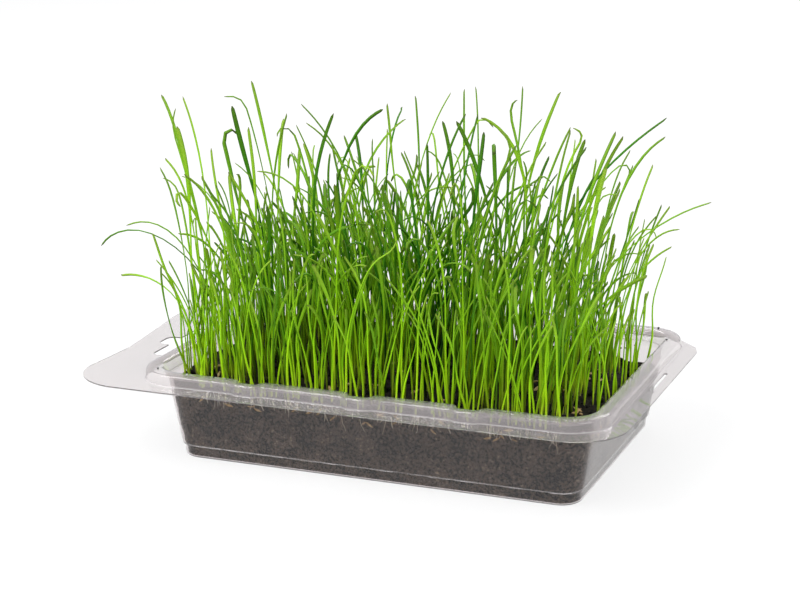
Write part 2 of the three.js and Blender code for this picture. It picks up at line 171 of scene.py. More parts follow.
def node(tree, kind, inputs=None, links=None, **settings):
    """Adds one shader node, sets its properties and inputs, and links what feeds it."""
    made = tree.nodes.new(kind)
    for name, value in settings.items():
        setattr(made, name, value)
    set_inputs(made, inputs or {})
    for name, source in (links or {}).items():
        tree.links.new(source, made.inputs[name])
    return made


def ramp(tree, source, stops):
    """A colour ramp through (place, colour) stops, where a colour is #rrggbb or a linear grey level."""
    made = node(tree, "ShaderNodeValToRGB", links={"Fac": source})
    elements = made.color_ramp.elements
    while len(elements) > 1:
        elements.remove(elements[-1])
    for number, (place, colour) in enumerate(stops):
        stop = elements[0] if number == 0 else elements.new(place)
        stop.position = place
        stop.color = linear(colour) if isinstance(colour, str) else (colour, colour, colour, 1.0)
    return made.outputs["Color"]


def mixed(tree, share, first, second):
    """Two colours mixed by a share: the first is a socket, the second a socket or #rrggbb."""
    made = node(tree, "ShaderNodeMix", data_type="RGBA")
    tree.links.new(share, made.inputs["Factor"])
    tree.links.new(first, made.inputs["A"])
    if isinstance(second, str):
        made.inputs["B"].default_value = linear(second)
    else:
        tree.links.new(second, made.inputs["B"])
    return made.outputs["Result"]


def mottle(tree, place, scale, detail, roughness=0.5):
    """A noise that repeats some scale times in a metre, as a share from 0 to 1."""
    inputs = {"Scale": scale, "Detail": detail, "Roughness": roughness}
    return node(tree, "ShaderNodeTexNoise", inputs, {"Vector": place}).outputs["Fac"]


def new_material(name):
    material = bpy.data.materials.new(name)
    material.use_nodes = True
    tree = material.node_tree
    return material, tree, tree.nodes["Principled BSDF"]


def activate(*objects):
    bpy.ops.object.select_all(action="DESELECT")
    for thing in objects:
        thing.select_set(True)
    bpy.context.view_layer.objects.active = objects[0]


def apply_modifiers(thing):
    activate(thing)
    for modifier in list(thing.modifiers):
        bpy.ops.object.modifier_apply(modifier=modifier.name)


def add_modifier(thing, kind, **settings):
    modifier = thing.modifiers.new(kind.lower(), kind)
    for name, value in settings.items():
        setattr(modifier, name, value)
    return modifier


def coordinates(mesh):
    values = np.empty(len(mesh.vertices) * 3)
    mesh.vertices.foreach_get("co", values)
    return values.reshape(-1, 3)


def set_coordinates(mesh, values):
    mesh.vertices.foreach_set("co", np.ascontiguousarray(values, dtype=float).ravel())
    mesh.update()


def joined(name, objects):
    activate(*objects)
    bpy.ops.object.join()
    piece = bpy.context.view_layer.objects.active
    piece.name = piece.data.name = name
    return piece


def smooth(value, low, high):
    t = np.clip((value - low) / (high - low), 0, 1)
    return t * t * (3 - 2 * t)


def seeded_random(seed):
    """The same draws as the CAD rows use, so that each fine blade follows its CAD blade."""
    mask = 0xFFFFFFFF
    state = seed

    def draw():
        nonlocal state
        state = (state + 0x6D2B79F5) & mask
        mixed = ((state ^ (state >> 15)) * (state | 1)) & mask
        mixed ^= (mixed + (mixed ^ (mixed >> 7)) * (mixed | 61)) & mask
        return ((mixed ^ (mixed >> 14)) & mask) / 4294967296

    return draw


# Floor, backdrop and lights

def studio():
    bpy.ops.mesh.primitive_plane_add(size=6, location=(0, 0, 0))
    floor = bpy.context.active_object
    floor.name = "studio_floor"
    # A lit white table: it glows evenly, so that only a faint shadow is left on it
    material, tree, shader = new_material("opal acrylic light table")
    set_inputs(shader, {"Base Color": linear("#757575"), "Roughness": 0.9, "Specular IOR Level": 0.0,
                        "Emission Color": linear("#ffffff"), "Emission Strength": 0.79})
    floor.data.materials.append(material)

    world = bpy.data.worlds.new("soft white studio")
    world.use_nodes = True
    background = world.node_tree.nodes["Background"]
    background.inputs["Color"].default_value = linear("#fbfcff")
    background.inputs["Strength"].default_value = 0.72
    bpy.context.scene.world = world

    def soft_box(name, place, size, power, target=(0, 0, 0.06)):
        light = bpy.data.objects.new(name, bpy.data.lights.new(name, "AREA"))
        light.data.shape = "RECTANGLE"
        light.data.size, light.data.size_y = size
        light.data.energy = power
        light.location = place
        aim = Vector(target) - Vector(place)
        light.rotation_euler = aim.to_track_quat("-Z", "Y").to_euler()
        bpy.context.scene.collection.objects.link(light)

    soft_box("key_soft_box", (-0.9, -0.9, 1.5), (1.2, 1.2), 32)
    soft_box("fill_soft_box", (1.3, -0.6, 1.0), (1.0, 1.0), 9)
    soft_box("back_soft_box", (0.1, 1.3, 1.2), (1.6, 0.8), 14)
    bpy.context.scene.view_settings.view_transform = "Standard"


studio()


# Materials

# Whitening at each height in millimetres: clear on the wall, painted highlight lines along the folds at the
# step and where the flange meets the rim, and a little painted reflection that whitens flange and rim
HAZE_AND_PAINTED_HIGHLIGHTS = ((0.0, 0.02), (5.0, 0.02), (5.2, 0.12), (5.4, 0.02), (31.0, 0.02), (32.4, 0.08), (33.0, 0.14),
        (33.25, 0.4), (33.6, 0.18), (36.4, 0.14), (37.0, 0.14), (37.3, 0.1))
HAZE_AND_HIGHLIGHTS_TOP = 40.0


def clear_sheet_material():
    """Clear thermoformed PET: glossy and faintly grey, with painted highlight lines along its folds and
    painted reflection that makes the rim milky.
    """
    material, tree, shader = new_material("clear formed PET sheet")
    set_inputs(shader, {"Base Color": linear("#e6e1e1"), "IOR": 1.33})
    place = node(tree, "ShaderNodeTexCoord").outputs["Object"]
    height = node(tree, "ShaderNodeSeparateXYZ", links={"Vector": place}).outputs["Z"]
    # Forming leaves slow waves some 12 mm apart in the sheet
    waves = mottle(tree, place, 80.0, 1.0)
    bump = node(tree, "ShaderNodeBump", {"Strength": 0.12, "Distance": 0.0006}, {"Height": waves})
    share = node(tree, "ShaderNodeMath", {1: HAZE_AND_HIGHLIGHTS_TOP * MM}, {0: height}, operation="DIVIDE")
    clearness_less_painted_highlights = ramp(tree, share.outputs["Value"], [(level / HAZE_AND_HIGHLIGHTS_TOP, 1 - haze_and_highlight) for level, haze_and_highlight in HAZE_AND_PAINTED_HIGHLIGHTS])
    # Painted highlight and painted reflection: less transmission lets the grey-white base colour show at
    # the folds and on the rim
    tree.links.new(clearness_less_painted_highlights, shader.inputs["Transmission Weight"])
    scuffs = mottle(tree, place, 600.0, 3.0)
    gloss_range = {"From Min": 0.4, "From Max": 0.8, "To Min": 0.02, "To Max": 0.07}
    gloss = node(tree, "ShaderNodeMapRange", gloss_range, {"Value": scuffs})
    tree.links.new(gloss.outputs["Result"], shader.inputs["Roughness"])
    tree.links.new(bump.outputs["Normal"], shader.inputs["Normal"])
    return material


def soil_material(name, dark, middle, light):
    """Moist peat and composted bark: dark, with nearly black grains and a few paler fibres."""
    material, tree, shader = new_material(name)
    place = node(tree, "ShaderNodeTexCoord").outputs["Object"]
    # Grains of about 1 mm, gathered in darker and paler patches some 8 mm across
    grains = mottle(tree, place, 900.0, 4.0, 0.7)
    patches = mottle(tree, place, 120.0, 3.0, 0.6)
    shift_range = {"From Min": 0.35, "From Max": 0.65, "To Min": -0.075, "To Max": 0.045}
    shift = node(tree, "ShaderNodeMapRange", shift_range, {"Value": patches}).outputs["Result"]
    shifted = node(tree, "ShaderNodeMath", links={0: grains, 1: shift}, operation="ADD")
    stops = [(0.435, dark), (0.475, middle), (0.59, middle), (0.70, light)]
    base = ramp(tree, shifted.outputs["Value"], stops)
    stretched = node(tree, "ShaderNodeMapping", {"Scale": (1.0, 1.0, 0.3), "Rotation": (0.5, 0.9, 0.3)},
                     {"Vector": place})
    fibres = mottle(tree, stretched.outputs["Vector"], 1300.0, 2.0)
    fleck_mask = ramp(tree, fibres, [(0.7, "#000000"), (0.78, "#ffffff")])
    with_fibres = mixed(tree, fleck_mask, base, "#76675a")
    # The open top, where faces look up, is mixed towards near black
    open_top = node(tree, "ShaderNodeAttribute", attribute_name="open_top").outputs["Fac"]
    tree.links.new(mixed(tree, open_top, with_fibres, "#0b0806"), shader.inputs["Base Color"])
    bump = node(tree, "ShaderNodeBump", {"Strength": 0.7, "Distance": 0.0008}, {"Height": grains})
    tree.links.new(bump.outputs["Normal"], shader.inputs["Normal"])
    set_inputs(shader, {"Roughness": 0.92, "Specular IOR Level": 0.2})
    return material


def husk_material():
    """Dry seed husk: straw coloured, paler and browner in patches."""
    material, tree, shader = new_material("dry straw husk")
    place = node(tree, "ShaderNodeTexCoord").outputs["Object"]
    patches = mottle(tree, place, 700.0, 3.0)
    straw = ramp(tree, patches, [(0.3, "#7d5c33"), (0.5, "#c6a46c"), (0.75, "#e6d3a6")])
    tree.links.new(straw, shader.inputs["Base Color"])
    shader.inputs["Roughness"].default_value = 0.6
    return material


def root_material():
    """Young root: off-white, slightly waxy."""
    material, tree, shader = new_material("young white root")
    place = node(tree, "ShaderNodeTexCoord").outputs["Object"]
    patches = mottle(tree, place, 300.0, 2.0)
    white = ramp(tree, patches, [(0.3, "#d2c29c"), (0.6, "#f6efdc")])
    tree.links.new(white, shader.inputs["Base Color"])
    set_inputs(shader, {"Roughness": 0.5, "Subsurface Weight": 0.2,
                        "Subsurface Radius": (0.0008, 0.0006, 0.0004)})
    return material


def grass_material():
    """Young leaf: pale and yellow where it leaves the soil, fresh green above and duller at the tip; a
    darker second ramp, deep green above and painted shade low down, is mixed in by each leaf's tone and
    shade.
    """
    material, tree, shader = new_material("young cereal leaf")
    along = node(tree, "ShaderNodeAttribute", attribute_name="along").outputs["Fac"]
    across = node(tree, "ShaderNodeAttribute", attribute_name="across").outputs["Fac"]
    tone_and_shade = node(tree, "ShaderNodeAttribute", attribute_name="tone_and_shade").outputs["Fac"]
    fresh = ramp(tree, along, [(0.0, "#e2e8a8"), (0.05, "#c8e238"), (0.18, "#acde12"), (0.45, "#98d612"),
                               (0.8, "#96cc24"), (0.985, "#8cb034"), (1.0, "#6a6a38")])
    # Painted shade: the second ramp is nearly black low on the leaf, for stems shaded inside the stand
    deep_green_and_shade = ramp(tree, along, [(0.0, "#4a5c24"), (0.05, "#092802"), (0.25, "#063200"), (0.55, "#165a00"),
                              (0.8, "#3a8008"), (0.98, "#467614"), (1.0, "#434a24")])
    place = node(tree, "ShaderNodeTexCoord").outputs["Object"]
    patches = mottle(tree, place, 120.0, 2.0)
    # Nine fine veins run along a leaf some 2 mm wide
    veins = node(tree, "ShaderNodeMath", {1: 28.0}, {0: across}, operation="MULTIPLY")
    ribs = node(tree, "ShaderNodeMath", links={0: veins.outputs["Value"]}, operation="SINE")
    shaded = node(tree, "ShaderNodeHueSaturation", links={"Color": mixed(tree, tone_and_shade, fresh, deep_green_and_shade)})
    value = node(tree, "ShaderNodeMapRange", {"To Min": 0.8, "To Max": 1.2}, {"Value": patches})
    tree.links.new(value.outputs["Result"], shaded.inputs["Value"])
    tree.links.new(shaded.outputs["Color"], shader.inputs["Base Color"])
    bump = node(tree, "ShaderNodeBump", {"Strength": 0.25, "Distance": 0.0002},
                {"Height": ribs.outputs["Value"]})
    tree.links.new(bump.outputs["Normal"], shader.inputs["Normal"])
    set_inputs(shader, {"Roughness": 0.55, "Specular IOR Level": 0.14, "Subsurface Weight": 0.2,
                        "Subsurface Radius": (0.0010, 0.0016, 0.0002)})
    return material


clear_sheet = clear_sheet_material()
soil_bulk = soil_material("moist peat soil", "#030202", "#5e5348", "#b3a088")
soil_crumb = soil_material("loose peat crumb", "#060504", "#120e0b", "#2a221c")
straw_husk = husk_material()
white_root = root_material()
young_leaf = grass_material()


# The tray

CORNER_PIECES = 10


def dent_share(x):
    """How far a point of a long side lies in a dent, from 0 to 1."""
    return max(float(1 - smooth(abs(x - c), DENT_HALF, DENT_HALF + DENT_SLOPE)) for c in DENT_CENTRES)


def side_stops():
    """Places along a long side where the ring has points: closer together over each dent."""
    reach = DENT_HALF + DENT_SLOPE
    steps = (-1.0, -0.85, -0.7, -0.56, -0.3, 0.3, 0.56, 0.7, 0.85, 1.0)
    return sorted(c + reach * step for c in DENT_CENTRES for step in steps)


END_STOPS = (-38.0, -22.0, -8.0, 8.0, 24.0, 38.0)


def ring(inset, z, swell=0.0, spread=0.0):
    """One turn round the tray as (x, y, z) points in millimetres, anticlockwise from the front left."""
    half_x, half_y = RIM_LENGTH / 2 - inset + spread, RIM_WIDTH / 2 - inset
    radius = RIM_RADIUS - RADIUS_LOSS * inset
    points = [(x, -half_y - swell * dent_share(x), z) for x in side_stops()]

    def corner(sign_x, sign_y, start):
        for i in range(CORNER_PIECES + 1):
            angle = start + math.pi / 2 * i / CORNER_PIECES
            points.append((sign_x * (half_x - radius) + radius * math.cos(angle),
                           sign_y * (half_y - radius) + radius * math.sin(angle), z))

    corner(1, -1, -math.pi / 2)
    points.extend((half_x, y, z) for y in END_STOPS)
    corner(1, 1, 0)
    points.extend((x, half_y + swell * dent_share(x), z) for x in reversed(side_stops()))
    corner(-1, 1, math.pi / 2)
    points.extend((-half_x, y, z) for y in reversed(END_STOPS))
    corner(-1, -1, math.pi)
    return points


def grow_rings(name, levels):
    """Starts a flat face on the first ring and pulls its edge up through the others."""
    count = len(levels[0])
    bpy.ops.mesh.primitive_circle_add(vertices=count, radius=0.05, fill_type="NGON")
    piece = bpy.context.active_object
    piece.name = name
    turn = piece.data.attributes.new("turn", "INT", "POINT")
    turn.data.foreach_set("value", list(range(count)))
    set_coordinates(piece.data, np.array(levels[0]) * MM)
    bpy.ops.object.mode_set(mode="EDIT")
    bpy.ops.mesh.select_mode(type="EDGE")
    bpy.ops.mesh.select_all(action="SELECT")
    for level in levels[1:]:
        bpy.ops.mesh.extrude_edges_move()
        edit = bmesh.from_edit_mesh(piece.data)
        layer = edit.verts.layers.int["turn"]
        for vertex in edit.verts:
            if vertex.select:
                vertex.co = Vector(level[vertex[layer]]) * MM
        bmesh.update_edit_mesh(piece.data)
    bpy.ops.object.mode_set(mode="OBJECT")
    piece.data.attributes.remove(piece.data.attributes["turn"])
    return piece


def flange_edge():
    """The flange's outer edge, point for point with a ring: the flap at the left, the tab at the right."""
    front, left, right = tray_low.y + 0.05, tray_low.x + 0.05, tray_high.x - 0.05
    flap_x, flap_y, lean, tab_round, chamfer = 29.0, 21.5, 5.0, 20.0, 18.5
    waist_y, waist_depth = (-50.0, -38.0, -22.0, 0.0, 24.0, 50.0), (lean, 6.0, 6.8, 4.5, 1.5, 0.0)
    straight_x, straight_y = RIM_LENGTH / 2 - RIM_RADIUS, RIM_WIDTH / 2 - RIM_RADIUS
    points = []
    for x, y, z in ring(0, FLANGE_MIDDLE):
        angle = math.asin(min(max(abs(y) - straight_y, 0) / RIM_RADIUS, 1))
        if abs(x) <= straight_x + 0.01:
            points.append((x, math.copysign(front, y), z))
        elif x < 0 and angle == 0:
            points.append((left + float(np.interp(y, waist_y, waist_depth)), y, z))
        elif x < 0:
            depth = lean if y < 0 else 0.0
            points.append((left + flap_x - (flap_x - depth) * math.cos(angle),
                           math.copysign(-front - flap_y + flap_y * math.sin(angle), y), z))
        elif y < 0:
            points.append((right - tab_round * (1 - math.cos(angle)),
                           y if angle == 0 else front + tab_round * (1 - math.sin(angle)), z))
        else:
            share = angle / (math.pi / 2)
            points.append((right - chamfer * share, y if angle == 0 else -front - chamfer * (1 - share), z))
    return points


def cut(piece, cutter):
    """Cuts one solid out of another and takes the cutter away."""
    add_modifier(piece, "BOOLEAN", operation="DIFFERENCE", solver="EXACT", object=cutter)
    apply_modifiers(piece)
    bpy.data.objects.remove(cutter, do_unlink=True)


def slot_cutter(low, high):
    """A block through the flange with rounded upright edges."""
    middle = (Vector(low) + Vector(high)) / 2
    size = Vector(high) - Vector(low)
    bpy.ops.mesh.primitive_cube_add(size=1, location=(middle.x * MM, middle.y * MM, FLANGE_TOP * MM))
    cutter = bpy.context.active_object
    cutter.scale = (size.x * MM, size.y * MM, 6 * MM)
    bpy.ops.object.transform_apply()
    bpy.ops.object.mode_set(mode="EDIT")
    bpy.ops.mesh.select_all(action="DESELECT")
    edit = bmesh.from_edit_mesh(cutter.data)
    for edge in edit.edges:
        edge.select = abs(edge.verts[0].co.z - edge.verts[1].co.z) > MM
    bmesh.update_edit_mesh(cutter.data)
    bpy.ops.mesh.bevel(offset=min(size.x, size.y) * 0.3 * MM, segments=5)
    bpy.ops.object.mode_set(mode="OBJECT")
    return cutter


def tray_piece():
    """The formed sheet, drawn along its middle and then given its thickness."""
    mid = SHEET / 2
    levels = [ring(*level) for level in (
        (BASE_INSET + 1.5, mid, 0, BASE_SPREAD), (BASE_INSET + 0.8, mid + 0.12, 0, BASE_SPREAD),
        (BASE_INSET + 0.45, mid + 0.5, 0, BASE_SPREAD), (BASE_INSET + 0.33, mid + 1.1, 0, BASE_SPREAD),
        (BASE_INSET + 0.15, STEP_HEIGHT - 0.5, 0, BASE_SPREAD),
        (BASE_INSET + 0.05, STEP_HEIGHT - 0.25, 0, BASE_SPREAD),
        (STEP_INSET + 0.6, STEP_HEIGHT - 0.05, 0, BASE_SPREAD),
        (STEP_INSET + 0.32, STEP_HEIGHT + 0.1, 0, BASE_SPREAD),
        (STEP_INSET + 0.22, STEP_HEIGHT + 0.4, 0, BASE_SPREAD),
        (STEP_INSET + 0.18, STEP_HEIGHT + 1.0, 0, BASE_SPREAD),
        (BODY_INSET + 1.15, BEND_HEIGHT, 0, BODY_SPREAD),
        (BODY_INSET + 0.8, 29.0, DENT_DEPTH * 0.2, BODY_SPREAD),
        (BODY_INSET + 0.35, FLANGE_MIDDLE, DENT_DEPTH * 0.6, BODY_SPREAD),
        (RIM_FLAT + 0.05, RIM_TOP - 1.2, DENT_DEPTH * 0.8),
        (RIM_FLAT - 0.35, RIM_TOP - 0.6, DENT_DEPTH * 0.8),
        (RIM_FLAT - 1.1, RIM_TOP - 0.3, DENT_DEPTH * 0.8),
        (1.7, RIM_TOP - 0.3, DENT_SWELL), (1.0, RIM_TOP - 0.65, DENT_SWELL),
        (0.75, RIM_TOP - 1.3, DENT_SWELL), (0.35, FLANGE_TOP + 0.3, DENT_SWELL),
        (0.05, FLANGE_TOP - 0.25, DENT_SWELL), (-0.5, FLANGE_MIDDLE, DENT_SWELL),
    )]
    levels.append(flange_edge())
    tray = grow_rings("clear_tray", levels)
    add_modifier(tray, "SOLIDIFY", thickness=SHEET * MM, offset=0.0, use_even_offset=True)
    apply_modifiers(tray)
    for low, high in SLOTS:
        cut(tray, slot_cutter(low, high))
    activate(tray)
    bpy.ops.object.mode_set(mode="EDIT")
    bpy.ops.mesh.select_all(action="SELECT")
    bpy.ops.mesh.normals_make_consistent(inside=False)
    bpy.ops.object.mode_set(mode="OBJECT")
    bpy.ops.object.shade_smooth_by_angle(angle=math.radians(50))
    tray.data.materials.append(clear_sheet)
    return tray


clear_tray = tray_piece()


# The soil

def cornerward(x, y):
    """How far a place lies towards the back right corner."""
    return x / SOIL_HALF_X + y / SOIL_HALF_Y


def soil_height(x, y):
    """Height of the soil's surface, as the CAD soil has it: sunk in the back right corner."""
    to_corner = smooth(cornerward(x, y), CORNER_START, CORNER_END)
    uneven = 0.35 * np.sin(x * 0.11 + y * 0.05) + 0.3 * np.sin(y * 0.17 - x * 0.04 + 1.2)
    return SOIL_LEVEL - CORNER_DROP * to_corner + uneven


def lumps(x, y):
    """How far clods and crumbs lift the surface at a place, in millimetres."""
    place = Vector((x, y, 0.0))
    return (1.1 * noise.noise(place * 0.13) + 0.7 * noise.noise(place * 0.34 + Vector((7, 3, 1)))
            + 0.45 * abs(noise.noise(place * 0.8)))


# Above this height, a face that looks up belongs to the soil's open top
SKIN_FROM = 24


def soil_piece():
    """The filled inside of the tray as one closed lump with a crumbly skin."""
    levels = [ring(*level) for level in (
        (BASE_INSET + 1.2, 0.6, 0, BASE_SPREAD), (BASE_INSET + 0.75, 0.9, 0, BASE_SPREAD),
        (BASE_INSET + 0.7, 1.8, 0, BASE_SPREAD), (BASE_INSET + 0.5, STEP_HEIGHT - 0.2, 0, BASE_SPREAD),
        (STEP_INSET + 0.55, STEP_HEIGHT + 0.7, 0, BASE_SPREAD),
        (BODY_INSET + 1.75, BEND_HEIGHT, 0, BODY_SPREAD), (BODY_INSET + 1.5, 29.4, 0, BODY_SPREAD),
        (BODY_INSET + 1.95, 30.5, 0, BODY_SPREAD), (BODY_INSET + 4.0, SOIL_LEVEL, 0, BODY_SPREAD),
    )]
    soil = grow_rings("soil_block", levels)
    bpy.ops.object.mode_set(mode="EDIT")
    bpy.ops.mesh.edge_face_add()
    bpy.ops.mesh.select_all(action="SELECT")
    bpy.ops.mesh.normals_make_consistent(inside=False)
    bpy.ops.object.mode_set(mode="OBJECT")
    add_modifier(soil, "REMESH", mode="VOXEL", voxel_size=0.9 * MM)
    apply_modifiers(soil)
    points = coordinates(soil.data) / MM
    normals = np.empty(len(points) * 3)
    soil.data.vertices.foreach_get("normal", normals)
    normals = normals.reshape(-1, 3)
    for i, (x, y, z) in enumerate(points):
        if z > SKIN_FROM and normals[i][2] > 0.3:
            points[i][2] = z * soil_height(x, y) / SOIL_LEVEL + lumps(x, y)
        else:
            # The base stays flat, and pits are pressed in all round above it
            points[i][2] = z * (soil_height(x, y) / SOIL_LEVEL if z > 3 else 1)
            if z > 2:
                place = Vector((x, y, z))
                pit = 0.9 * noise.noise(place * 0.16) + 0.6 * noise.noise(place * 0.37)
                points[i] -= normals[i] * min(max(pit, 0.0), 0.7) * np.array((1, 1, 0))
    set_coordinates(soil.data, points * MM)
    layer = soil.data.attributes.new("open_top", "FLOAT", "POINT")
    layer.data.foreach_set("value", (0.85 * smooth(normals[:, 2], 0.2, 0.7)).astype(np.float32))
    activate(soil)
    bpy.ops.object.shade_smooth()
    soil.data.materials.append(soil_bulk)
    return soil


soil_block = soil_piece()


def wall_inset(z):
    """How far the clear wall's inner face lies inside the rim's foot at a height."""
    heights = (2.0, STEP_HEIGHT, STEP_HEIGHT + 0.5, BEND_HEIGHT, FLANGE_TOP)
    insets = (BASE_INSET + 0.6, BASE_INSET + 0.4, STEP_INSET + 0.7, BODY_INSET + 1.4, BODY_INSET + 0.6)
    return float(np.interp(z, heights, insets))


def wall_point(side, along, z, depth):
    """A point just behind the clear wall: side is front, back, left or right."""
    if side in ("front", "back"):
        reach = RIM_WIDTH / 2 - wall_inset(z) - depth
        return Vector((along, -reach if side == "front" else reach, z))
    spread = float(np.interp(z, (STEP_HEIGHT, BEND_HEIGHT), (BASE_SPREAD, BODY_SPREAD)))
    reach = RIM_LENGTH / 2 + spread - wall_inset(z) - depth
    return Vector((-reach if side == "left" else reach, along, z))


def crumb_blank():
    """A rough crumb, one unit across before it is dented."""
    bpy.ops.mesh.primitive_uv_sphere_add(segments=7, ring_count=5, radius=0.5)
    blank = bpy.context.active_object
    points = coordinates(blank.data)
    for i, point in enumerate(points):
        points[i] = point * (1 + 0.45 * noise.noise(Vector(point) * 2.7 + Vector((4, 9, 2))))
    set_coordinates(blank.data, points)
    return blank


def scatter(name, blank, places, material):
    """Copies of one blank, each with its own mesh, size and turn, joined into one piece."""
    shape = coordinates(blank.data)
    copies = []
    for place, size, turn in places:
        copy = bpy.data.objects.new(name, blank.data.copy())
        bpy.context.scene.collection.objects.link(copy)
        turned = (shape * np.array(size)) @ np.array(turn.to_matrix()).T
        set_coordinates(copy.data, (turned + np.array(place)) * MM)
        copies.append(copy)
    piece = joined(name, copies)
    bpy.data.objects.remove(blank, do_unlink=True)
    bpy.ops.object.shade_smooth_by_angle(angle=math.radians(60))
    piece.data.materials.append(material)
    return piece


def random_turn(draw):
    """A turn that points the upright axis to a random side."""
    return Vector((draw() - 0.5, draw() - 0.5, draw() - 0.5)).to_track_quat("Z", "Y")


def inside_soil(x, y, margin):
    """True where a point lies over the soil, at least margin from its edge."""
    half_x, half_y = RIM_LENGTH / 2 - BODY_INSET - 1.5 - margin, RIM_WIDTH / 2 - BODY_INSET - 1.5 - margin
    radius = RIM_RADIUS - RADIUS_LOSS * BODY_INSET
    over_x, over_y = max(abs(x) - half_x + radius, 0), max(abs(y) - half_y + radius, 0)
    return abs(x) < half_x and abs(y) < half_y and math.hypot(over_x, over_y) < radius


CRUMBS = 1300
WALL_SPECKS = 22
# Place and size of the larger clods, which stand against the walls at the sunk and the front left corner
CLODS = ((79, 33, 5.0), (74, 41, 4.4), (66, 46, 4.8), (81, 24, 3.6), (70, 36, 3.8), (60, 43, 3.5),
         (79, 41, 3.2), (56, 48, 3.4), (-79, -45, 3.6), (-74, -49, 3.0), (-82, -40, 2.6))
# Place and size of the specks on the rim's flat top
RIM_SPECKS = ((82.5, 60.6, 1.3), (70.0, 61.5, 0.9), (89.8, 46.0, 0.8), (-86.0, -58.2, 1.0),
              (90.4, -8.0, 0.7), (-60.0, -61.0, 0.8), (-91.0, 5.0, 0.9), (20.0, 61.4, 0.8))


def crumb_piece():
    """Crumbs strewn over the soil, clods at two corners, and specks on the rim and the back wall."""
    draw = seeded_random(5150)
    places = []
    while len(places) < CRUMBS:
        x, y = (draw() - 0.5) * (2 * SOIL_HALF_X + 2), (draw() - 0.5) * (2 * SOIL_HALF_Y + 2)
        size = 0.7 + 2.3 * draw() ** 3
        if not inside_soil(x, y, size * 0.5 + 0.3):
            continue
        z = float(soil_height(x, y)) + lumps(x, y) + size * 0.15
        places.append(((x, y, z), (size, size * (0.7 + 0.3 * draw()), size * 0.8), random_turn(draw)))
    for x, y, size in CLODS:
        z = float(soil_height(x, y)) + size * 0.3
        places.append(((x, y, z), (size, size * 0.85, size * 0.75), random_turn(draw)))
    for x, y, size in RIM_SPECKS:
        places.append(((x, y, RIM_TOP + size * 0.25), (size, size * 0.8, size * 0.6), random_turn(draw)))
    # Specks cling to the clear wall above the sunk corner
    for _ in range(WALL_SPECKS):
        place = wall_point("back", 46 + 30 * draw(), 29.5 + 5 * draw() ** 1.5, 0.5)
        size = 0.5 + 0.8 * draw() ** 2
        places.append((place, (size, size * 0.8, size), random_turn(draw)))
    return scatter("loose_crumbs", crumb_blank(), places, soil_crumb)


loose_crumbs = crumb_piece()


# Seeds and roots

def husk_blank():
    """A seed husk: a grain drawn out to a point at both ends, with a crease along one side."""
    bpy.ops.mesh.primitive_uv_sphere_add(segments=8, ring_count=6, radius=0.5)
    blank = bpy.context.active_object
    points = coordinates(blank.data)
    for i, (x, y, z) in enumerate(points):
        slim = max(1 - (2 * abs(z)) ** 1.6, 0.05)
        crease = 0.75 if y < -0.2 and abs(x) < 0.2 else 1.0
        points[i] = (x * 0.3 * slim ** 0.4, y * 0.26 * crease * slim ** 0.4, z)
    set_coordinates(blank.data, points)
    return blank


# Husks seen through each wall: how many, and how far to either side of the wall's middle
WALL_HUSKS = {"front": (24, 74), "right": (8, 44), "left": (5, 44), "back": (14, 74)}
TOP_HUSKS = 90


def husk_piece():
    """Seed husks just behind the clear walls and strewn over the soil."""
    draw = seeded_random(8086)
    places = []
    for side, (count, reach) in WALL_HUSKS.items():
        for _ in range(count):
            place = wall_point(side, (draw() * 2 - 1) * reach, 27.6 - 4.0 * draw() ** 1.2, 0.45)
            level, upright = math.cos(draw() * 0.9 - 0.45), math.sin(draw() * 3.0 - 1.5)
            flat = Vector((level, 0, upright) if side in ("front", "back") else (0, level, upright))
            length = 2.8 + 1.8 * draw()
            places.append((place, (length, length, length), flat.to_track_quat("Z", "Y")))
    for _ in range(TOP_HUSKS):
        x, y = (draw() - 0.5) * 160, (draw() - 0.5) * 100
        lying = Vector((draw() - 0.5, draw() - 0.5, 0.25 * draw()))
        length = 3.4 + 1.8 * draw()
        place = (x, y, float(soil_height(x, y)) + lumps(x, y) + 0.2)
        places.append((place, (length, length, length), lying.to_track_quat("Z", "Y")))
    return scatter("seed_husks", husk_blank(), places, straw_husk)


seed_husks = husk_piece()


THREAD_RADIUS = 0.13
# Threads by wall: how many, how far to either side of its middle, the longest, and times the radius
THREADS = (("front", 26, 76, 9.0, 1.0), ("right", 9, 46, 9.0, 1.0), ("left", 8, 46, 9.0, 1.0),
           ("back", 18, 76, 9.0, 1.0), ("front", 64, 76, 5.0, 1.9), ("right", 16, 44, 4.5, 1.9),
           ("left", 10, 44, 3.5, 1.7), ("back", 30, 76, 4.0, 1.7))


